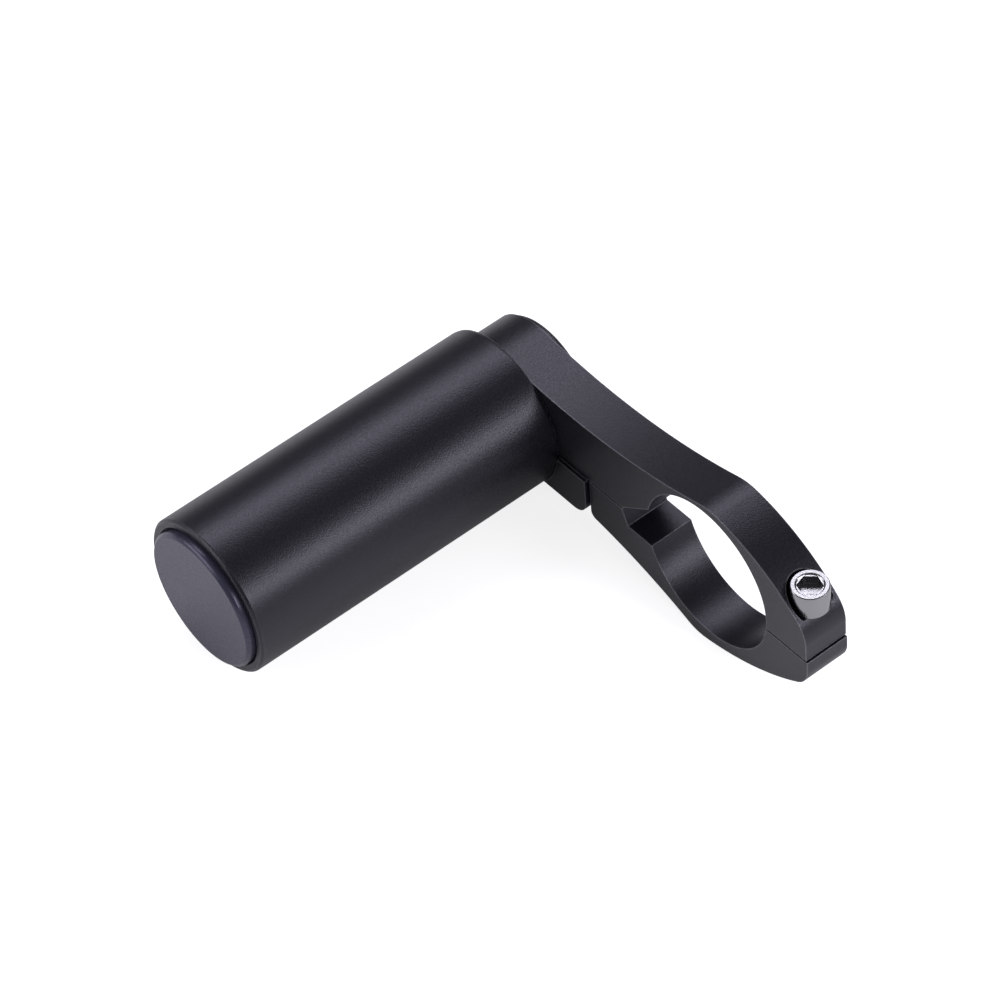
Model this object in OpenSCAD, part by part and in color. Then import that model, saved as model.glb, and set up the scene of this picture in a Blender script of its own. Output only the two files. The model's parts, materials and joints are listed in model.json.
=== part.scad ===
// Handlebar extender: a short tube carried beside the handlebar on a hinged clamp arm.
// X runs from the tube to the clamp bolt, Y along the handlebar, Z up.
// The origin is the centre of the handlebar bore. The part stands on the tube and the jaw.

/* [Handlebar clamp] */
// Diameter of the bar that the clamp grips
bar_d = 31.8; // [30:0.1:33]
// Width of the arm and the jaw, measured along the bar
arm_w = 9.5; // [8.5:0.5:12]
// Distance between the bar's axis and the tube's axis
reach = 56; // [55:1:70]
// Gap between the closed arm and jaw
seam = 0.4; // [0.3:0.1:0.6]
// Drop of the seam at the bolt below the bar's axis
bolt_seam_drop = 1.8; // [1:0.1:2.4]
// Drop of the arm's flat at the hinge below the bar's axis
hinge_seam_drop = 1.5; // [1:0.1:2]

/* [Arm outline] */
// Radius of the rounded head behind the tube
head_r = 13.6; // [13:0.1:14.5]
// Height of the arm's lowest top edge above the axis
waist_h = 12.15; // [11.5:0.05:12.8]
// Depth of the long hollow along the arm's top, under a chord as long as the reach
hollow_depth = 3.11; // [2.9:0.01:3.2]
// Radius of the crest over the bore
crest_r = 12; // [8:1:16]
// Wall above the bore at the shoulder's highest point
shoulder_wall = 1.9; // [1.6:0.1:3]
// Distance of the shoulder's centre behind the bar's axis
shoulder_back = 2.8; // [1:0.2:4]
// Height of the nose's centre above the axis
nose_h = 1.87; // [1.5:0.05:2.3]
// Radius of the nose below the bolt head
nose_r = 7; // [6:0.5:8]
// Distance from the bar's axis to the arm's nose
nose_x = 26.3; // [25.8:0.1:28]

/* [Jaw outline] */
// Radius of the hollow along the jaw's underside
jaw_hollow_r = 107.4; // [95:0.2:120]
// Distance of the hollow's centre behind the bar's axis
jaw_hollow_back = 46.5; // [44:0.5:49]
// Depth of the hollow's top below the axis
jaw_hollow_depth = 9.9; // [9.4:0.1:10.4]
// Depth of the jaw's underside at its end below the axis, as if the corner were sharp
jaw_end_depth = 7.6; // [7.2:0.1:8.6]
// Wall below the bore at the belly's lowest point
belly_wall = 3.3; // [2.8:0.1:4]
// Distance of the belly's centre behind the bar's axis
belly_back = 9.3; // [8:0.1:11]
// Radius that blends the hollow into the belly
jaw_crest_r = 9; // [6:0.5:12]
// Distance from the bar's axis to the jaw's end
jaw_end_x = 26.6; // [26:0.1:28]
// Radius of the jaw's lower end corner
jaw_corner_r = 6; // [4:0.5:7]
// Radius of the jaw's corner beside the hinge
heel_r = 1.5; // [1:0.25:2]

/* [Relief pocket] */
// Length of the hinge flats from the lug to the pocket
flat_l = 9.4; // [8:0.1:10.4]
// Height of the pocket's roof above the axis
roof_h = 2.1; // [1:0.1:2.5]
// Run of the sloped roof beside the arm's flat
roof_run = 5; // [3.5:0.5:6]
// Run of the slope that blunts the corner between the roof and the bore
lip_run = 2.8; // [2:0.1:3.4]
// Rise of that slope
lip_rise = 2; // [1:0.1:2.6]
// Depth of the pocket's floor below the axis
floor_drop = 5.4; // [5:0.1:6]
// Run of the jaw's step down to the floor
step_run = 1.5; // [0.5:0.1:2]

/* [Hinge] */
// Distance from the tube's axis to the hinge pin
pin_offset = 18.5; // [17.9:0.1:19]
// Drop of the hinge pin below the axis
hinge_drop = 6.6; // [6.2:0.1:6.8]
// Diameter of the hinge pin
pin_d = 3; // [2.5:0.1:3.4]
// Radius of the jaw's knuckle
knuckle_r = 3.4; // [3:0.1:3.6]
// Width of the jaw's tongue
tongue_w = 6; // [4.5:0.1:6.5]
// Side play of the tongue between the cheeks
side_play = 0.15; // [0.1:0.01:0.3]
// Distance from the tube's axis to the lug's face
lug_offset = 23.6; // [23:0.1:24]
// Drop of the lug's underside below the axis
lug_drop = 11.2; // [10.8:0.1:12]
// Radius of the lug's lower corner
lug_corner_r = 3.5; // [2:0.25:4]
// Height that the lug's cheeks stand out of the arm's sides
pad_h = 0.8; // [0.5:0.1:1.5]
// Skin left over the blind end of the pin hole
pin_skin = 0.8; // [0.6:0.1:1.4]
// Depth of the pin's open end below the back cheek
pin_inset = 0.3; // [0.2:0.1:0.6]

/* [Clamp bolt] */
// Distance from the bar's axis to the bolt
bolt_x = 22.4; // [21:0.1:22.8]
// Height of the bolt's seat above the axis
seat_h = 6.5; // [6:0.1:8]
// Diameter of the pocket around the bolt head
pocket_d = 8.4; // [8:0.1:8.8]
// Diameter of the bolt head
bolt_head_d = 7.2; // [6.6:0.1:7.4]
// Height of the bolt head
bolt_head_h = 5.2; // [4:0.1:6]
// Nominal diameter of the bolt
bolt_d = 4; // [3.5:0.1:4.4]
// Length of the bolt below its head
bolt_l = 16; // [14:1:18]
// Width across the flats of the bolt's socket
bolt_hex = 4; // [3:0.5:4]
// Depth of the bolt's socket
bolt_hex_depth = 2.8; // [2:0.1:3]

/* [Tube] */
// Outer diameter of the tube
tube_d = 31.8; // [30:0.1:32.5]
// Length of the tube
tube_l = 69; // [50:1:110]
// Wall of the tube
tube_wall = 2; // [1.5:0.1:3]
// Thickness of the tube's closed end
web_t = 8; // [7.5:0.5:12]
// Chamfer on the tube's open end
mouth_chamfer = 0.5; // [0.3:0.1:0.8]
// Narrowing of the tube's end at the arm, as far as the lug's cheek reaches along it
root_relief = 0.2; // [0.1:0.05:0.3]

/* [Covers and screw] */
// Height that the front cap stands out of the tube
cap_proud = 1.6; // [1:0.1:2.5]
// Bevel around the front cap's face
cap_bevel = 0.6; // [0.3:0.1:0.9]
// Depth that the front cap reaches into the tube
cap_plug = 7; // [4:0.5:10]
// Wall of the front cap
cap_wall = 2; // [1.5:0.1:3]
// Diameter of the rear cover
cover_d = 25.8; // [20:0.1:26.4]
// Height that the rear cover stands out of the head
cover_proud = 1.5; // [1:0.1:2]
// Diameter of the rear cover's spigot
spigot_d = 16; // [13:0.5:18]
// Depth of the recess for the spigot
recess_depth = 2; // [1.5:0.1:2.2]
// Nominal diameter of the tube's screw
screw_d = 5; // [4:0.5:5.5]
// Diameter of the tube screw's head
screw_head_d = 8.5; // [8:0.1:9]
// Height of the tube screw's head
screw_head_h = 4.8; // [4:0.1:5]
// Length of the tube's screw below its head
screw_l = 10; // [8:0.5:10.5]
// Width across the flats of the tube screw's socket
screw_hex = 4; // [3:0.5:4]

/* [Hidden] */
// Radial play of the jaw on its pin
pin_play = 0.05;
// Radial play of parts that are pushed in and stay
push_play = 0.02;
// Radial play of the bolt and the screw in their clearance holes
hole_play = 0.3;
// Radial room for the bolt's thread in the jaw, which lets the jaw swing a little
thread_play = 0.2;
// Radial room between the lug's cheek and the tube
tube_play = 0.1;
// Room between the spigot and the floor of its recess
spigot_play = 0.2;
// Room under the head of the clamp bolt
seat_play = 0.05;
// Chamfers and countersinks on small turned parts
edge = 0.4;
// Overlap that lets a cut pass through a face
eps = 1;
$fn = 96;

// Steps in each arc of the outlines, and in the round bore
arc_steps = 24;
bore_steps = 240;

bore_r = bar_d / 2;
tube_r = tube_d / 2;
front = -arm_w / 2;
back = arm_w / 2;

// Points along an arc about c, from angle a0 to a1
function arc(c, r, a0, a1, n = arc_steps) =
    [for (i = [0 : n]) c + r * [cos(a0 + (a1 - a0) * i / n), sin(a0 + (a1 - a0) * i / n)]];

// Direction from a to b
function heading(a, b) = atan2(b[1] - a[1], b[0] - a[0]);

// Centre of the circle that is p away from a and q away from b, on the left of the way from a to b
function meet(a, p, b, q) =
    let (d = norm(b - a), along = (d * d + p * p - q * q) / (2 * d), off = sqrt(p * p - along * along))
    a + along * (b - a) / d + off * [a[1] - b[1], b[0] - a[0]] / d;

// Places of the hinge, measured from the bar's axis
hinge_x = reach - pin_offset;
lug_x = reach - lug_offset;
flat_end_x = lug_x - flat_l;

// Centres of the arm's arcs, worked out so that each arc runs smoothly into the next
head_c = [-reach, 0];
hollow_r = pow(reach, 2) / hollow_depth / 8;
hollow_c = [-reach + sqrt(pow(hollow_r + head_r, 2) - pow(waist_h + hollow_r, 2)), waist_h + hollow_r];
nose_c = [nose_x - nose_r, nose_h];
// The shoulder's circle has its top over the bore and runs into the nose
nose_run = nose_c[0] + shoulder_back;
nose_fall = bore_r + shoulder_wall - nose_h;
shoulder_r = (pow(nose_run, 2) + pow(nose_fall, 2) - pow(nose_r, 2)) / (nose_fall - nose_r) / 2;
shoulder_c = [-shoulder_back, bore_r + shoulder_wall - shoulder_r];
crest_c = meet(hollow_c, hollow_r + crest_r, shoulder_c, shoulder_r - crest_r);

// Centres of the jaw's arcs
jaw_hollow_c = [-jaw_hollow_back, -jaw_hollow_depth - jaw_hollow_r];
belly_run = jaw_end_x + belly_back;
belly_rise = bore_r + belly_wall - jaw_end_depth;
belly_r = (pow(belly_run, 2) + pow(belly_rise, 2)) / belly_rise / 2;
belly_c = [-belly_back, belly_r - bore_r - belly_wall];
jaw_crest_c = meet(belly_c, belly_r - jaw_crest_r, jaw_hollow_c, jaw_hollow_r + jaw_crest_r);
jaw_corner_c = [jaw_end_x - jaw_corner_r,
    belly_c[1] - sqrt(pow(belly_r - jaw_corner_r, 2) - pow(jaw_end_x - jaw_corner_r - belly_c[0], 2))];
shoulder_x = -lug_x + seam;
heel_c = [shoulder_x + heel_r,
    jaw_hollow_c[1] + sqrt(pow(jaw_hollow_r + heel_r, 2) - pow(shoulder_x + heel_r - jaw_hollow_c[0], 2))];

// Turn about Y that sets the tube and the jaw down on one level
stand = 90 + heading(head_c, jaw_crest_c)
    - acos((tube_r - jaw_crest_r) / norm(jaw_crest_c - head_c));

// A flat outline in the X-Z plane, given thickness from y0 to y1
module slab(y0, y1) {
    translate([0, y1, 0])
        rotate([90, 0, 0])
            linear_extrude(y1 - y0)
                children();
}

// Turns a part from the clamp's own frame to the way it stands
module standing() {
    rotate([0, stand, 0])
        children();
}

// A turned part lying along Y: its outline is drawn as radius against distance towards +Y
module turned(x, z) {
    translate([x, 0, z])
        rotate([-90, 0, 0])
            rotate_extrude()
                children();
}

module arm_outline() {
    difference() {
        union() {
            translate(head_c)
                circle(head_r, $fn = bore_steps);
            polygon(concat(
                [head_c],
                arc(hollow_c, hollow_r, heading(hollow_c, head_c), heading(hollow_c, crest_c)),
                arc(crest_c, crest_r, heading(hollow_c, crest_c) + 180, heading(shoulder_c, crest_c)),
                arc(shoulder_c, shoulder_r, heading(shoulder_c, crest_c), heading(shoulder_c, nose_c)),
                arc(nose_c, nose_r, heading(shoulder_c, nose_c), 0),
                [[nose_x, -bolt_seam_drop], [0, -bolt_seam_drop], [0, roof_h + lip_rise]],
                [[-flat_end_x + roof_run + lip_run, roof_h + lip_rise]],
                [[-flat_end_x + roof_run, roof_h]],
                [[-flat_end_x, -hinge_seam_drop], [-lug_x, -hinge_seam_drop]],
                arc([-lug_x - lug_corner_r, -lug_drop + lug_corner_r], lug_corner_r, 0, -90),
                [[-reach, -lug_drop]]));
        }
        circle(bore_r, $fn = bore_steps);
    }
}

// Outline of the cheeks that stand out of the arm's sides at the hinge
module cheek_outline() {
    difference() {
        polygon(concat(
            [[-reach, -hinge_seam_drop - seam], [-lug_x, -hinge_seam_drop - seam]],
            arc([-lug_x - lug_corner_r, -lug_drop + lug_corner_r], lug_corner_r, 0, -90),
            [[-reach, -lug_drop]]));
        translate(head_c)
            circle(tube_r + tube_play, $fn = bore_steps);
    }
}

module arm() {
    slot_w = tongue_w + 2 * side_play;
    slot_x = -hinge_x - knuckle_r - seam;
    slot_top = -hinge_drop + knuckle_r + seam;
    color("#2b2b30")
        standing()
            difference() {
                union() {
                    slab(front, back)
                        arm_outline();
                    slab(front - pad_h, back + pad_h)
                        cheek_outline();
                }
                // slot for the jaw's tongue
                translate([slot_x, -slot_w / 2, -lug_drop - eps])
                    cube([reach, slot_w, lug_drop + eps + slot_top]);
                // hole for the hinge pin, blind behind the front cheek
                turned(-hinge_x, -hinge_drop)
                    translate([0, front - pad_h + pin_skin])
                        square([pin_d / 2 + push_play, arm_w + 2 * pad_h]);
                // pocket and hole for the clamp bolt
                translate([bolt_x, 0, seat_h])
                    cylinder(d = pocket_d, h = bore_r);
                translate([bolt_x, 0, -bolt_seam_drop - eps])
                    cylinder(r = bolt_d / 2 + hole_play, h = seat_h + bolt_seam_drop + 2 * eps);
                // recess, counterbore and hole for the tube's screw
                turned(-reach, 0)
                    polygon([
                        [0, front - eps],
                        [screw_d / 2 + hole_play, front - eps],
                        [screw_d / 2 + hole_play, back - recess_depth - screw_head_h],
                        [screw_head_d / 2 + hole_play, back - recess_depth - screw_head_h],
                        [screw_head_d / 2 + hole_play, back - recess_depth],
                        [spigot_d / 2 + push_play, back - recess_depth],
                        [spigot_d / 2 + push_play, back + eps],
                        [0, back + eps]]);
            }
}

module jaw_outline() {
    difference() {
        polygon(concat(
            [[shoulder_x, -hinge_seam_drop - seam], [-flat_end_x, -hinge_seam_drop - seam]],
            [[-flat_end_x + step_run, -floor_drop], [0, -floor_drop], [0, -bolt_seam_drop - seam]],
            [[jaw_end_x, -bolt_seam_drop - seam]],
            arc(jaw_corner_c, jaw_corner_r, 0, heading(belly_c, jaw_corner_c)),
            arc(belly_c, belly_r, heading(belly_c, jaw_corner_c), heading(belly_c, jaw_crest_c)),
            arc(jaw_crest_c, jaw_crest_r, heading(belly_c, jaw_crest_c),
                heading(jaw_hollow_c, jaw_crest_c) - 180),
            arc(jaw_hollow_c, jaw_hollow_r, heading(jaw_hollow_c, jaw_crest_c),
                heading(jaw_hollow_c, heel_c)),
            arc(heel_c, heel_r, heading(jaw_hollow_c, heel_c) - 180, -180)));
        circle(bore_r, $fn = bore_steps);
    }
}

module clamp_jaw() {
    color("#2b2b30")
        standing()
            difference() {
                union() {
                    slab(front, back)
                        jaw_outline();
                    // tongue and knuckle between the cheeks
                    slab(-tongue_w / 2, tongue_w / 2) {
                        translate([-hinge_x, -hinge_drop])
                            circle(knuckle_r);
                        translate([-hinge_x, -hinge_drop - knuckle_r])
                            square([shoulder_x + hinge_x + heel_r, 2 * knuckle_r]);
                    }
                }
                turned(-hinge_x, -hinge_drop)
                    translate([0, front])
                        square([pin_d / 2 + pin_play, arm_w]);
                translate([bolt_x, 0, -bore_r - belly_wall])
                    cylinder(d = bolt_d, h = bore_r + belly_wall);
            }
}

module hinge_pin() {
    r = pin_d / 2;
    y0 = front - pad_h + pin_skin;
    y1 = back + pad_h - pin_inset;
    color("#9a9aa0")
        standing()
            turned(-hinge_x, -hinge_drop)
                polygon([[0, y0], [r - edge / 2, y0], [r, y0 + edge / 2], [r, y1 - edge / 2],
                    [r - edge / 2, y1], [0, y1]]);
}

// Cap screw on the Z axis with its seat at the origin and its head above
module cap_screw(d, l, thread_d, thread_l, head_d, head_h, hex, hex_depth) {
    hex_r = hex / 2 / cos(30);
    cone_h = hex_r / 2;
    difference() {
        rotate_extrude()
            polygon([
                [0, -l],
                [thread_d / 2 - edge, -l],
                [thread_d / 2, -l + edge],
                [thread_d / 2, -l + thread_l],
                [d / 2, -l + thread_l],
                [d / 2, 0],
                [head_d / 2, 0],
                [head_d / 2, head_h - edge],
                [head_d / 2 - edge, head_h],
                [0, head_h]]);
        translate([0, 0, head_h - hex_depth])
            cylinder(r = hex_r, h = hex_depth + eps, $fn = 6);
        // drilled point below the socket and countersink above it
        translate([0, 0, head_h - hex_depth - cone_h])
            cylinder(r1 = 0, r2 = hex / 2, h = cone_h);
        translate([0, 0, head_h - edge])
            cylinder(r1 = hex_r - edge / 2, r2 = hex_r + edge / 2, h = 2 * edge);
    }
}

module clamp_bolt() {
    color("#d8d8dc")
        standing()
            translate([bolt_x, 0, seat_h + seat_play])
                cap_screw(bolt_d, bolt_l, bolt_d - 2 * thread_play, bolt_l - seat_h - bolt_seam_drop,
                    bolt_head_d, bolt_head_h, bolt_hex, bolt_hex_depth);
}

module extension_tube() {
    bore = tube_r - tube_wall;
    mouth = front - tube_l;
    color("#2b2b30")
        standing()
            turned(-reach, 0)
                polygon([
                    [screw_d / 2 + push_play, front],
                    [tube_r - root_relief, front],
                    [tube_r, front - pad_h - tube_play],
                    [tube_r, mouth + mouth_chamfer],
                    [tube_r - mouth_chamfer, mouth],
                    [bore + edge, mouth],
                    [bore, mouth + edge],
                    [bore, front - web_t],
                    [screw_d / 2 + push_play, front - web_t]]);
}

module front_cap() {
    mouth = front - tube_l;
    r = tube_r - tube_wall - push_play;
    color("#3a3a42")
        standing()
            turned(-reach, 0)
                polygon([
                    [0, mouth - cap_proud],
                    [r - cap_bevel, mouth - cap_proud],
                    [r, mouth - cap_proud + cap_bevel],
                    [r, mouth + cap_plug - edge],
                    [r - edge, mouth + cap_plug],
                    [r - cap_wall, mouth + cap_plug],
                    [r - cap_wall, mouth - cap_proud + cap_wall],
                    [0, mouth - cap_proud + cap_wall]]);
}

module rear_cover() {
    r = cover_d / 2;
    color("#2b2b30")
        standing()
            turned(-reach, 0)
                polygon([
                    [0, back - recess_depth + spigot_play],
                    [spigot_d / 2 - edge, back - recess_depth + spigot_play],
                    [spigot_d / 2, back - recess_depth + spigot_play + edge],
                    [spigot_d / 2, back],
                    [r, back],
                    [r, back + cover_proud - cap_bevel],
                    [r - cap_bevel, back + cover_proud],
                    [0, back + cover_proud]]);
}

module tube_screw() {
    head_h = screw_head_h - spigot_play;
    color("#55555c")
        standing()
            translate([-reach, back - recess_depth - screw_head_h, 0])
                rotate([-90, 0, 0])
                    cap_screw(screw_d, screw_l, screw_d, screw_l / 2,
                        screw_head_d, head_h, screw_hex, head_h / 2);
}

arm();
clamp_jaw();
hinge_pin();
clamp_bolt();
extension_tube();
front_cap();
rear_cover();
tube_screw();
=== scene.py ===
import json
import math

import bpy
from mathutils import Matrix, Vector


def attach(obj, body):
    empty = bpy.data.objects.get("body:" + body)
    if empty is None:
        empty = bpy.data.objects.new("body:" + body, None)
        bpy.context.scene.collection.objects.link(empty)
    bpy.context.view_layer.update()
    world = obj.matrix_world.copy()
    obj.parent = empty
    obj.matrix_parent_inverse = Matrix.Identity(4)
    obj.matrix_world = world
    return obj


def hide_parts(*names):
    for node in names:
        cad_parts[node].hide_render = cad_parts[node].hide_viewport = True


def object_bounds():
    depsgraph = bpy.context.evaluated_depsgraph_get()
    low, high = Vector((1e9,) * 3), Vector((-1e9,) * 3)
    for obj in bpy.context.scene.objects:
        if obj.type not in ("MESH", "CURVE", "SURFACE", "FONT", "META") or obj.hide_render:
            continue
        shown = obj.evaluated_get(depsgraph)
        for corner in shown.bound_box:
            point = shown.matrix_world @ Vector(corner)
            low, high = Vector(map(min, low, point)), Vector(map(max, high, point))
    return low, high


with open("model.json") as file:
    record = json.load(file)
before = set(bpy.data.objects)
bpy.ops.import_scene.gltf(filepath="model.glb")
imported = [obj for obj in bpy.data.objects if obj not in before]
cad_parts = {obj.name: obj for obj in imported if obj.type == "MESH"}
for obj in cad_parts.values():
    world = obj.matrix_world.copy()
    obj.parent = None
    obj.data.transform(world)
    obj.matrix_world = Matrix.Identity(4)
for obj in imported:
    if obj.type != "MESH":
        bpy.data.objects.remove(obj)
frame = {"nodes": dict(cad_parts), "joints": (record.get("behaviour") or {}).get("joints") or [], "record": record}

CAD_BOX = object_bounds()
MM = 0.001

# The bolt's seat and the tube's axis are those of the bolt's joint and of the tube's mount.
BOLT_JOINT = next(joint for joint in frame["joints"] if joint["name"] == "bolt_turn")
BOLT_SEAT = Vector(BOLT_JOINT["pos_m"])
TUBE_MOUNT = next(mount for mount in frame["record"]["mounts"] if mount["name"] == "accessory_tube")
TUBE_AXIS = Vector(TUBE_MOUNT["pos_m"])

# The clamp stands turned a little about Y, so that the tube and the jaw rest on the floor.
STAND = math.atan2(BOLT_JOINT["axis"][0], BOLT_JOINT["axis"][2])
FLOOR_Z = CAD_BOX[0][2]

# The camera's lens in millimetres, its place in metres and its turn in degrees.
LENS = 184.547
CAMERA_PLACE = (0.42723, -0.38854, 0.70584)
CAMERA_TURN = (39.9506, 1.4329, 49.9506)

# The lamps stand this far from the point between the tube and the clamp that they face.
LAMP_DISTANCE = 0.80
LAMP_AIM = Vector((-0.02, -0.02, 0.0))

# Strength of the dim light from all round, and of what the camera and mirrors see besides.
ROOM_LIGHT = 0.13
ROOM_TO_CAMERA = 0.87
FLOOR_TO_CAMERA = 0.80
FLOOR_TO_MIRRORS = 0.26
FLOOR_SIZE = 8.0


# Helpers for node trees

def feed(tree, socket, value):
    """Sets a plain number on the socket, or joins another node's output to it."""
    if isinstance(value, (int, float)):
        socket.default_value = value
    else:
        tree.links.new(value, socket)


def math_node(tree, operation, *values):
    node = tree.nodes.new("ShaderNodeMath")
    node.operation = operation
    for socket, value in zip(node.inputs, values):
        feed(tree, socket, value)
    return node.outputs[0]


def noise_node(tree, where, scale, detail, roughness):
    node = tree.nodes.new("ShaderNodeTexNoise")
    tree.links.new(where, node.inputs["Vector"])
    feed(tree, node.inputs["Scale"], scale)
    node.inputs["Detail"].default_value = detail
    node.inputs["Roughness"].default_value = roughness
    return node.outputs["Fac"]


def object_place(tree):
    return tree.nodes.new("ShaderNodeTexCoord").outputs["Object"]


def mix_colour(tree, mask, a, b):
    node = tree.nodes.new("ShaderNodeMix")
    node.data_type = "RGBA"
    tree.links.new(mask, node.inputs["Factor"])
    for socket, value in ((node.inputs[6], a), (node.inputs[7], b)):
        if isinstance(value, tuple):
            socket.default_value = (*value, 1.0)
        else:
            tree.links.new(value, socket)
    return node.outputs[2]


def toned(tree, tone, colour):
    """The colour, made lighter or darker by the tone."""
    node = tree.nodes.new("ShaderNodeVectorMath")
    node.operation = "SCALE"
    node.inputs[0].default_value = colour
    tree.links.new(tone, node.inputs["Scale"])
    return node.outputs[0]


def ramp(tree, value, low_in, high_in, low_out, high_out):
    node = tree.nodes.new("ShaderNodeMapRange")
    tree.links.new(value, node.inputs["Value"])
    node.inputs["From Min"].default_value = low_in
    node.inputs["From Max"].default_value = high_in
    node.inputs["To Min"].default_value = low_out
    node.inputs["To Max"].default_value = high_out
    return node.outputs["Result"]


def bump(tree, height, distance, strength):
    node = tree.nodes.new("ShaderNodeBump")
    node.inputs["Distance"].default_value = distance
    node.inputs["Strength"].default_value = strength
    tree.links.new(height, node.inputs["Height"])
    return node.outputs["Normal"]


def start_material(name):
    material = bpy.data.materials.new(name)
    material.use_nodes = True
    return material, material.node_tree, material.node_tree.nodes["Principled BSDF"]


# Camera, lamps, room and floor

def make_camera():
    data = bpy.data.cameras.new("photo_camera")
    data.sensor_width = 36.0
    data.lens = LENS
    data.clip_start = 0.01
    data.clip_end = 20.0
    camera = bpy.data.objects.new("photo_camera", data)
    camera.location = CAMERA_PLACE
    camera.rotation_euler = [math.radians(angle) for angle in CAMERA_TURN]
    bpy.context.scene.collection.objects.link(camera)
    bpy.context.scene.camera = camera


def softbox(name, azimuth, elevation, width, height, watts, colour):
    """A rectangular lamp that faces the object from that side."""
    a = math.radians(azimuth)
    e = math.radians(elevation)
    side = Vector((math.sin(a) * math.cos(e), -math.cos(a) * math.cos(e), math.sin(e)))
    data = bpy.data.lights.new(name, "AREA")
    data.shape = "RECTANGLE"
    data.size = width
    data.size_y = height
    data.energy = watts
    data.color = colour
    lamp = bpy.data.objects.new(name, data)
    lamp.location = LAMP_AIM + side * LAMP_DISTANCE
    lamp.rotation_euler = (-side).to_track_quat("-Z", "Y").to_euler()
    bpy.context.scene.collection.objects.link(lamp)


def make_lights():
    softbox("softbox_left", azimuth=-126, elevation=54, width=0.70, height=0.28,
            watts=2.3, colour=(0.92, 0.91, 1.0))
    softbox("softbox_right", azimuth=112, elevation=27, width=0.80, height=0.24,
            watts=3.2, colour=(0.95, 0.94, 1.0))
    softbox("edge_strip", azimuth=-32, elevation=24, width=0.70, height=0.30,
            watts=1.9, colour=(0.97, 0.97, 1.0))


def make_room():
    """Dim light from all round. The camera sees it as pale as the floor's far end."""
    world = bpy.data.worlds.new("studio")
    world.use_nodes = True
    nodes = world.node_tree.nodes
    links = world.node_tree.links
    dim = nodes["Background"]
    dim.inputs["Color"].default_value = (0.92, 0.92, 1.0, 1.0)
    dim.inputs["Strength"].default_value = ROOM_LIGHT
    pale = nodes.new("ShaderNodeBackground")
    pale.inputs["Color"].default_value = (1.0, 1.0, 1.0, 1.0)
    pale.inputs["Strength"].default_value = ROOM_TO_CAMERA
    path = nodes.new("ShaderNodeLightPath")
    seen = nodes.new("ShaderNodeMixShader")
    links.new(path.outputs["Is Camera Ray"], seen.inputs[0])
    links.new(dim.outputs[0], seen.inputs[1])
    links.new(pale.outputs[0], seen.inputs[2])
    links.new(seen.outputs[0], nodes["World Output"].inputs["Surface"])
    bpy.context.scene.world = world


def floor_lift(tree):
    """How much paler the camera and mirrors see the floor. Mirrors see it with painted shade right under the
    object, where ambient occlusion darkens its glow.
    """
    path = tree.nodes.new("ShaderNodeLightPath")
    mirrored = math_node(
        tree, "MAXIMUM", path.outputs["Is Glossy Ray"], path.outputs["Is Transmission Ray"])
    # Painted shade: ambient occlusion darkens the glow that mirrors see near the object.
    shade = tree.nodes.new("ShaderNodeAmbientOcclusion")
    shade.samples = 4
    shade.inputs["Distance"].default_value = 20.0 * MM
    open_share = math_node(tree, "MULTIPLY", shade.outputs["AO"], FLOOR_TO_MIRRORS)
    soft = math_node(tree, "MULTIPLY", mirrored, open_share)
    return math_node(tree, "MULTIPLY_ADD", path.outputs["Is Camera Ray"], FLOOR_TO_CAMERA, soft)


def make_floor():
    bpy.ops.mesh.primitive_plane_add(size=FLOOR_SIZE, location=(0.0, 0.0, FLOOR_Z))
    floor = bpy.context.object
    floor.name = "floor"
    material, tree, surface = start_material("floor_white")
    surface.inputs["Base Color"].default_value = (0.84, 0.84, 0.85, 1.0)
    surface.inputs["Roughness"].default_value = 0.7
    glow = tree.nodes.new("ShaderNodeEmission")
    tree.links.new(floor_lift(tree), glow.inputs["Strength"])
    both = tree.nodes.new("ShaderNodeAddShader")
    tree.links.new(surface.outputs[0], both.inputs[0])
    tree.links.new(glow.outputs[0], both.inputs[1])
    tree.links.new(both.outputs[0], tree.nodes["Material Output"].inputs["Surface"])
    floor.data.materials.append(material)


# Shared surface effects

def new_group(name, sockets_in, sockets_out):
    """A shader group of number sockets, with its input and output nodes."""
    group = bpy.data.node_groups.new(name, "ShaderNodeTree")
    for label, value in sockets_in.items():
        socket = group.interface.new_socket(label, in_out="INPUT", socket_type="NodeSocketFloat")
        socket.default_value = value
    for label in sockets_out:
        group.interface.new_socket(label, in_out="OUTPUT", socket_type="NodeSocketFloat")
    return group, group.nodes.new("NodeGroupInput"), group.nodes.new("NodeGroupOutput")


def place_group(tree, group, **values):
    node = tree.nodes.new("ShaderNodeGroup")
    node.node_tree = group
    for label, value in values.items():
        node.inputs[label.replace("_", " ")].default_value = value
    return node


def build_blast_grain():
    """Fine dimples left by bead blasting, and the slow drift of tone over the surface."""
    drift_scale = 60.0
    speck_spread = 2.4
    speck_tone = 0.35
    group, start, end = new_group(
        "blast_grain", {"Dimples per Metre": 3200.0, "Drift": 0.1}, ["Height", "Tone", "Speck"])
    place = object_place(group)
    dimples = noise_node(group, place, start.outputs["Dimples per Metre"], 1.0, 0.5)
    group.links.new(dimples, end.inputs["Height"])
    slow = math_node(group, "SUBTRACT", noise_node(group, place, drift_scale, 2.0, 0.5), 0.5)
    drift = math_node(group, "MULTIPLY", slow, start.outputs["Drift"])
    speck = math_node(group, "SUBTRACT", dimples, 0.5)
    group.links.new(math_node(group, "MULTIPLY_ADD", speck, speck_spread, 0.5), end.inputs["Speck"])
    speckled = math_node(group, "MULTIPLY_ADD", speck, speck_tone, drift)
    group.links.new(math_node(group, "ADD", speckled, 1.0), end.inputs["Tone"])
    return group


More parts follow.
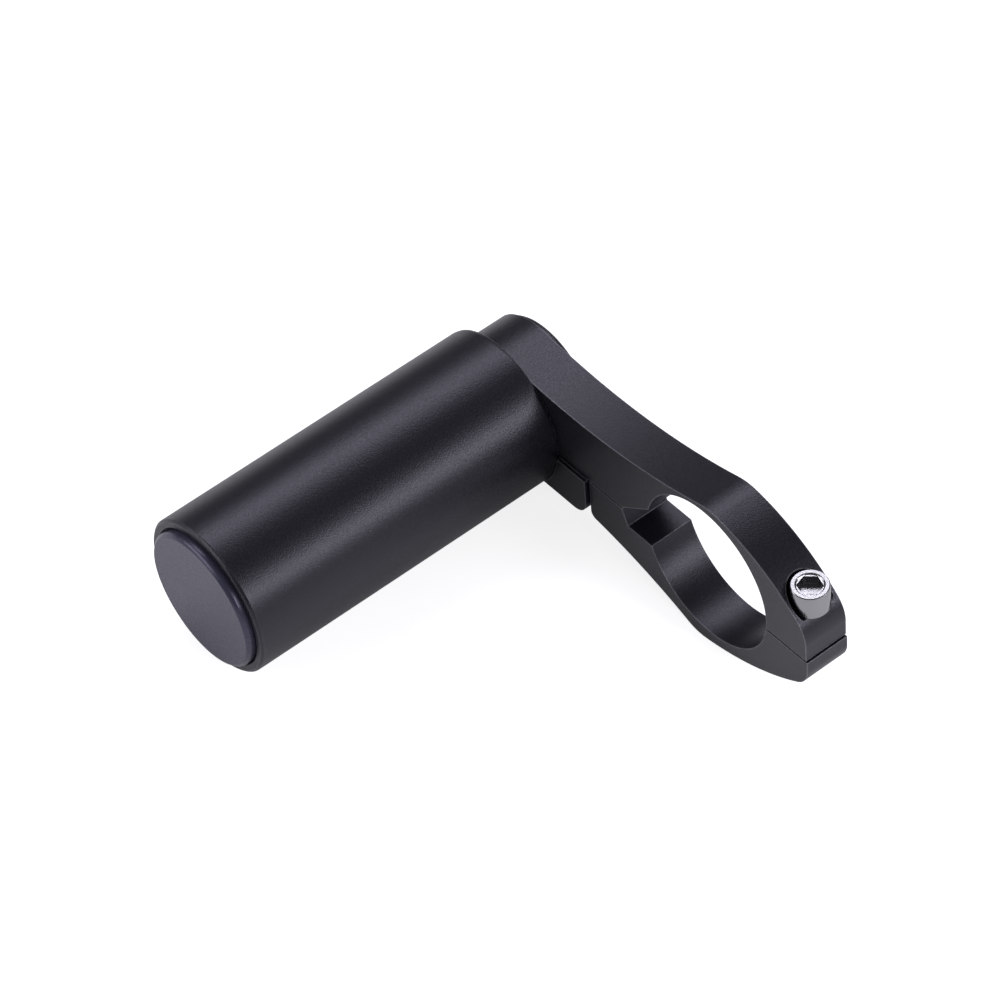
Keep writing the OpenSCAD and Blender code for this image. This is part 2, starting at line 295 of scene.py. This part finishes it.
def build_edge_highlight_and_polish():
    """Mask that is 1 along edges, broken up by noise. The materials use it for a painted highlight in the base
    colour, and for lower roughness as on polished edges.
    """
    edge_gain = 6.0
    break_scale = 900.0
    group, start, end = new_group("painted_edge_highlight_and_polish", {"Width": 0.0003, "Strength": 1.0}, ["Mask"])
    rounded = group.nodes.new("ShaderNodeBevel")
    rounded.samples = 4
    group.links.new(start.outputs["Width"], rounded.inputs["Radius"])
    shape = group.nodes.new("ShaderNodeNewGeometry")
    dot = group.nodes.new("ShaderNodeVectorMath")
    dot.operation = "DOT_PRODUCT"
    group.links.new(rounded.outputs["Normal"], dot.inputs[0])
    group.links.new(shape.outputs["Normal"], dot.inputs[1])
    away = math_node(group, "SUBTRACT", 1.0, dot.outputs["Value"])
    strong = math_node(group, "MULTIPLY", away, edge_gain)
    broken = noise_node(group, object_place(group), break_scale, 3.0, 0.6)
    edge_factor = math_node(group, "MULTIPLY", strong, broken)
    mask = math_node(group, "MULTIPLY", edge_factor, start.outputs["Strength"])
    mask.node.use_clamp = True
    group.links.new(mask, end.inputs["Mask"])
    return group


def build_fine_scratches():
    """Fine marks left by turning and grinding, longer along Z than across it, as a height."""
    group, start, end = new_group("fine_scratches", {"Along": 200.0, "Across": 9000.0}, ["Height"])
    size = group.nodes.new("ShaderNodeCombineXYZ")
    group.links.new(start.outputs["Across"], size.inputs["X"])
    group.links.new(start.outputs["Across"], size.inputs["Y"])
    group.links.new(start.outputs["Along"], size.inputs["Z"])
    stretched = group.nodes.new("ShaderNodeVectorMath")
    stretched.operation = "MULTIPLY"
    group.links.new(object_place(group), stretched.inputs[0])
    group.links.new(size.outputs[0], stretched.inputs[1])
    height = noise_node(group, stretched.outputs[0], 1.0, 3.0, 0.6)
    group.links.new(height, end.inputs["Height"])
    return group


# Materials

def blasted_black(name, grain, highlight_and_polish):
    """Bead-blasted aluminium, anodised black."""
    material, tree, surface = start_material(name)
    dimples = place_group(tree, grain, Dimples_per_Metre=3600.0, Drift=0.35)
    edges = place_group(tree, highlight_and_polish, Width=0.35 * MM, Strength=3.0)
    dark = toned(tree, dimples.outputs["Tone"], (0.0086, 0.0080, 0.0118))
    # Along the edges the base colour is painted far lighter: a painted highlight that stands in for light caught
    # by the rounded edges. The same mask lowers the roughness there, as on polished edges.
    colour = mix_colour(tree, edges.outputs["Mask"], dark, (0.230, 0.222, 0.245))
    tree.links.new(colour, surface.inputs["Base Color"])
    rough = ramp(tree, dimples.outputs["Speck"], 0.0, 1.0, 0.30, 0.42)
    edge_factor = ramp(tree, edges.outputs["Mask"], 0.0, 1.0, 1.0, 0.7)
    tree.links.new(math_node(tree, "MULTIPLY", rough, edge_factor), surface.inputs["Roughness"])
    surface.inputs["Specular IOR Level"].default_value = 0.55
    surface.inputs["Specular Tint"].default_value = (0.90, 0.88, 1.0, 1.0)
    tree.links.new(bump(tree, dimples.outputs["Height"], 0.034 * MM, 1.0), surface.inputs["Normal"])
    return material


def turning_rings(tree):
    """A wave over the distance from the tube's axis, with a ring in every 0.12 mm."""
    rings_per_metre = 8276.0
    centred = tree.nodes.new("ShaderNodeMapping")
    centred.inputs["Location"].default_value = (-TUBE_AXIS.x, 0.0, -TUBE_AXIS.z)
    tree.links.new(object_place(tree), centred.inputs["Vector"])
    parts = tree.nodes.new("ShaderNodeSeparateXYZ")
    tree.links.new(centred.outputs[0], parts.inputs[0])
    flat = tree.nodes.new("ShaderNodeCombineXYZ")
    tree.links.new(parts.outputs["X"], flat.inputs["X"])
    tree.links.new(parts.outputs["Z"], flat.inputs["Y"])
    radius = tree.nodes.new("ShaderNodeVectorMath")
    radius.operation = "LENGTH"
    tree.links.new(flat.outputs[0], radius.inputs[0])
    turns = math_node(tree, "MULTIPLY", radius.outputs["Value"], math.tau * rings_per_metre)
    return math_node(tree, "SINE", turns)


def turned_black(name, grain, highlight_and_polish):
    """Smooth machined aluminium, anodised black, with very fine turning rings."""
    ring_share = 0.25
    material, tree, surface = start_material(name)
    dimples = place_group(tree, grain, Dimples_per_Metre=5200.0, Drift=0.3)
    edges = place_group(tree, highlight_and_polish, Width=0.2 * MM, Strength=0.8)
    dark = toned(tree, dimples.outputs["Tone"], (0.052, 0.050, 0.080))
    # Along the edges the base colour is painted a little lighter, as a painted highlight.
    colour = mix_colour(tree, edges.outputs["Mask"], dark, (0.085, 0.082, 0.120))
    tree.links.new(colour, surface.inputs["Base Color"])
    rough = ramp(tree, dimples.outputs["Tone"], 0.8, 1.2, 0.24, 0.30)
    tree.links.new(rough, surface.inputs["Roughness"])
    surface.inputs["Specular IOR Level"].default_value = 0.6
    surface.inputs["Specular Tint"].default_value = (0.79, 0.76, 1.0, 1.0)
    height = math_node(tree, "MULTIPLY_ADD", turning_rings(tree), ring_share, dimples.outputs["Height"])
    tree.links.new(bump(tree, height, 0.006 * MM, 0.5), surface.inputs["Normal"])
    return material


def bright_steel(name, scratches, highlight_and_polish):
    """Polished stainless steel of the clamp bolt."""
    material, tree, surface = start_material(name)
    marks = place_group(tree, scratches, Along=1400.0, Across=3600.0)
    edges = place_group(tree, highlight_and_polish, Width=0.15 * MM, Strength=0.9)
    # Along the edges the base colour is painted much lighter, as a painted highlight.
    colour = mix_colour(tree, edges.outputs["Mask"], (0.34, 0.34, 0.35), (0.74, 0.74, 0.75))
    tree.links.new(colour, surface.inputs["Base Color"])
    surface.inputs["Metallic"].default_value = 1.0
    rough = ramp(tree, marks.outputs["Height"], 0.3, 0.7, 0.10, 0.24)
    tree.links.new(rough, surface.inputs["Roughness"])
    tree.links.new(bump(tree, marks.outputs["Height"], 0.06 * MM, 0.6), surface.inputs["Normal"])
    return material


def ground_steel(name, scratches, tone):
    """Ground or blackened steel of the pin and of the screw inside."""
    low_tone = 0.7
    material, tree, surface = start_material(name)
    marks = place_group(tree, scratches, Along=1200.0, Across=7000.0)
    dark = tuple(low_tone * channel for channel in tone)
    colour = mix_colour(tree, marks.outputs["Height"], dark, tone)
    tree.links.new(colour, surface.inputs["Base Color"])
    surface.inputs["Metallic"].default_value = 1.0
    rough = ramp(tree, marks.outputs["Height"], 0.3, 0.7, 0.26, 0.42)
    tree.links.new(rough, surface.inputs["Roughness"])
    tree.links.new(bump(tree, marks.outputs["Height"], 0.02 * MM, 0.4), surface.inputs["Normal"])
    return material


# Modelling helpers

def nothing_selected():
    if bpy.context.object and bpy.context.object.mode != "OBJECT":
        bpy.ops.object.mode_set(mode="OBJECT")
    bpy.ops.object.select_all(action="DESELECT")


def only(obj):
    nothing_selected()
    obj.select_set(True)
    bpy.context.view_layer.objects.active = obj


def smooth_faces(obj, angle):
    only(obj)
    bpy.ops.object.shade_smooth_by_angle(angle=math.radians(angle))


def round_edges(obj, width):
    """Rounds the edges at which the faces turn by more than the angle, and keeps flat faces flat."""
    sharp_angle = 30.0
    only(obj)
    bevel = obj.modifiers.new("edges", "BEVEL")
    bevel.width = width
    bevel.segments = 2
    bevel.limit_method = "ANGLE"
    bevel.angle_limit = math.radians(sharp_angle)
    bevel.miter_outer = "MITER_ARC"
    bpy.ops.object.modifier_apply(modifier=bevel.name)
    smooth_faces(obj, sharp_angle)
    weigh = obj.modifiers.new("flat_faces", "WEIGHTED_NORMAL")
    weigh.keep_sharp = True
    bpy.ops.object.modifier_apply(modifier=weigh.name)


def face_outwards():
    """Turns the faces of the closed form that is being edited outwards, and leaves edit mode."""
    bpy.ops.mesh.select_all(action="SELECT")
    bpy.ops.mesh.normals_make_consistent(inside=False)
    bpy.ops.object.mode_set(mode="OBJECT")


def dress(obj, material, body, slot, *nodes):
    obj.data.materials.clear()
    obj.data.materials.append(material)
    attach(obj, body)
    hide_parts(*nodes)


def finished_copy(node, name, edge):
    """The node's own form, merged, with its sharp edges broken as a file or tumbling leaves them."""
    piece = bpy.data.objects.new(name, frame["nodes"][node].data.copy())
    bpy.context.scene.collection.objects.link(piece)
    only(piece)
    bpy.ops.object.mode_set(mode="EDIT")
    bpy.ops.mesh.select_all(action="SELECT")
    bpy.ops.mesh.customdata_custom_splitnormals_clear()
    bpy.ops.mesh.remove_doubles(threshold=0.003 * MM)
    bpy.ops.mesh.dissolve_limited(angle_limit=math.radians(0.4))
    bpy.ops.object.mode_set(mode="OBJECT")
    round_edges(piece, edge * MM)
    return piece


def turned(name, profile, steps):
    """A closed form turned about Z, made from a disc that is drawn out and widened ring by ring."""
    nothing_selected()
    radius, z = profile[0]
    bpy.ops.mesh.primitive_circle_add(
        vertices=steps, radius=radius * MM, fill_type="NGON", location=(0.0, 0.0, 0.0))
    piece = bpy.context.object
    piece.name = name
    bpy.ops.object.mode_set(mode="EDIT")
    bpy.ops.mesh.select_mode(type="FACE")
    bpy.ops.mesh.select_all(action="SELECT")
    bpy.ops.transform.translate(value=(0.0, 0.0, z * MM))
    for next_radius, next_z in profile[1:]:
        bpy.ops.mesh.extrude_region_move(
            TRANSFORM_OT_translate={"value": (0.0, 0.0, (next_z - z) * MM)})
        share = next_radius / radius
        bpy.ops.transform.resize(
            value=(share, share, 1.0), center_override=(0.0, 0.0, next_z * MM))
        radius, z = next_radius, next_z
    face_outwards()
    return piece


def cut_away(piece, cutter):
    only(piece)
    cut = piece.modifiers.new("cut", "BOOLEAN")
    cut.operation = "DIFFERENCE"
    cut.solver = "EXACT"
    cut.object = cutter
    bpy.ops.object.modifier_apply(modifier=cut.name)
    bpy.data.objects.remove(cutter)


# The clamp bolt, in millimetres from its seat under the head

SEAT_PLAY = 0.05
HEAD_R = 3.6
HEAD_H = 5.2
MOUTH_R = 2.74
SOCKET_R = 2.48
SOCKET_DEPTH = 2.2
SOCKET_TURN = 15.0
SOCKET_CUT = 4.0
DRILL_R = 2.1
DRILL_DEPTH = 0.4
DRILL_OVERLAP = 0.05
SHANK_R = 2.0
SHANK_L = 16.0
THREAD_TOP = -8.2
THREAD_CORE = 1.6
THREAD_CREST = 1.86
THREAD_FOOT = 0.3
THREAD_SUNK = 0.06
THREAD_TURNS = 10
PITCH = 0.7
FINE_ANGLE = 28.0


def seat_bolt(piece):
    """Puts a piece that was made on the Z axis on the bolt's seat, and its place into its mesh."""
    only(piece)
    play = Matrix.Translation((0.0, 0.0, SEAT_PLAY * MM))
    piece.matrix_world = Matrix.Translation(BOLT_SEAT) @ Matrix.Rotation(STAND, 4, "Y") @ play
    bpy.ops.object.transform_apply(location=True, rotation=True, scale=True)


def bolt_blank():
    """Shank and head, with a countersunk mouth for the socket."""
    return turned("bolt_shape", [
        (THREAD_CORE - 0.3, -SHANK_L),
        (THREAD_CORE, -SHANK_L + 0.3),
        (THREAD_CORE, THREAD_TOP),
        (SHANK_R, THREAD_TOP + 0.35),
        (SHANK_R, -0.02),
        (HEAD_R - 0.20, 0.0),
        (HEAD_R, 0.20),
        (HEAD_R, HEAD_H - 0.34),
        (HEAD_R - 0.08, HEAD_H - 0.12),
        (HEAD_R - 0.24, HEAD_H),
        (MOUTH_R, HEAD_H),
        (MOUTH_R - 0.12, HEAD_H - 0.07),
        (MOUTH_R - 0.32, HEAD_H - 0.30),
    ], 96)


def cut_socket(bolt):
    """Six flats with the drilled bottom below them."""
    bottom = HEAD_H - SOCKET_DEPTH
    nothing_selected()
    bpy.ops.mesh.primitive_cylinder_add(
        vertices=6, radius=SOCKET_R * MM, depth=SOCKET_CUT * MM,
        location=(0.0, 0.0, (bottom + SOCKET_CUT / 2) * MM),
        rotation=(0.0, 0.0, math.radians(SOCKET_TURN)))
    cut_away(bolt, bpy.context.object)
    nothing_selected()
    bpy.ops.mesh.primitive_cone_add(
        vertices=48, radius1=0.05 * MM, radius2=DRILL_R * MM, depth=DRILL_DEPTH * MM,
        location=(0.0, 0.0, (bottom + DRILL_OVERLAP - DRILL_DEPTH / 2) * MM))
    cut_away(bolt, bpy.context.object)


def thread_ridge():
    """One ridge that winds up the shank, drawn out of its three-cornered section."""
    nothing_selected()
    bpy.ops.mesh.primitive_circle_add(
        vertices=3, radius=THREAD_FOOT * MM, fill_type="NOTHING", location=(0.0, 0.0, 0.0))
    ridge = bpy.context.object
    ridge.name = "bolt_thread"
    foot = THREAD_CORE - THREAD_SUNK
    corners = ((foot, -THREAD_FOOT), (THREAD_CREST, 0.0), (foot, THREAD_FOOT))
    for vertex, (radius, z) in zip(ridge.data.vertices, corners):
        vertex.co = (radius * MM, 0.0, (z - SHANK_L + PITCH) * MM)
    wind = ridge.modifiers.new("wind", "SCREW")
    wind.axis = "Z"
    wind.screw_offset = PITCH * MM
    wind.iterations = THREAD_TURNS
    wind.steps = 36
    wind.render_steps = 36
    bpy.ops.object.modifier_apply(modifier=wind.name)
    bpy.ops.object.mode_set(mode="EDIT")
    bpy.ops.mesh.select_mode(type="EDGE")
    bpy.ops.mesh.select_all(action="DESELECT")
    bpy.ops.mesh.select_non_manifold()
    bpy.ops.mesh.fill()
    face_outwards()
    return ridge


def make_bolt(steel):
    bolt = bolt_blank()
    cut_socket(bolt)
    smooth_faces(bolt, FINE_ANGLE)
    seat_bolt(bolt)
    dress(bolt, steel, "bolt", "bright_steel", "clamp_bolt")
    ridge = thread_ridge()
    smooth_faces(ridge, FINE_ANGLE)
    seat_bolt(ridge)
    dress(ridge, steel, "bolt", "bright_steel")


# The aluminium pieces and the steel inside, with the width of their broken edges in millimetres

def make_clamp(black):
    arm = finished_copy("arm", "arm_shape", 0.28)
    dress(arm, black, "holder", "black_anodised", "arm")
    jaw = finished_copy("clamp_jaw", "jaw_shape", 0.28)
    dress(jaw, black, "jaw", "black_anodised", "clamp_jaw")


def make_tube(black):
    tube = finished_copy("extension_tube", "tube_shape", 0.14)
    dress(tube, black, "holder", "black_anodised", "extension_tube")


def make_covers(black, smooth):
    cap = finished_copy("front_cap", "cap_shape", 0.16)
    dress(cap, smooth, "holder", "cap_anodised", "front_cap")
    cover = finished_copy("rear_cover", "cover_shape", 0.20)
    dress(cover, black, "holder", "black_anodised", "rear_cover")


def make_fasteners(pin_finish, screw_finish):
    pin = finished_copy("hinge_pin", "pin_shape", 0.08)
    dress(pin, pin_finish, "holder", "pin_steel", "hinge_pin")
    screw = finished_copy("tube_screw", "screw_shape", 0.08)
    dress(screw, screw_finish, "holder", "black_steel", "tube_screw")


def main():
    make_camera()
    make_lights()
    make_room()
    make_floor()
    grain = build_blast_grain()
    highlight_and_polish = build_edge_highlight_and_polish()
    scratches = build_fine_scratches()
    black = blasted_black("blasted_black", grain, highlight_and_polish)
    smooth = turned_black("turned_black", grain, highlight_and_polish)
    steel = bright_steel("bright_steel", scratches, highlight_and_polish)
    pin_finish = ground_steel("ground_steel", scratches, (0.50, 0.50, 0.52))
    screw_finish = ground_steel("blackened_steel", scratches, (0.07, 0.07, 0.075))
    make_clamp(black)
    make_tube(black)
    make_covers(black, smooth)
    make_fasteners(pin_finish, screw_finish)
    make_bolt(steel)
    bpy.context.scene.view_settings.view_transform = "Standard"


main()
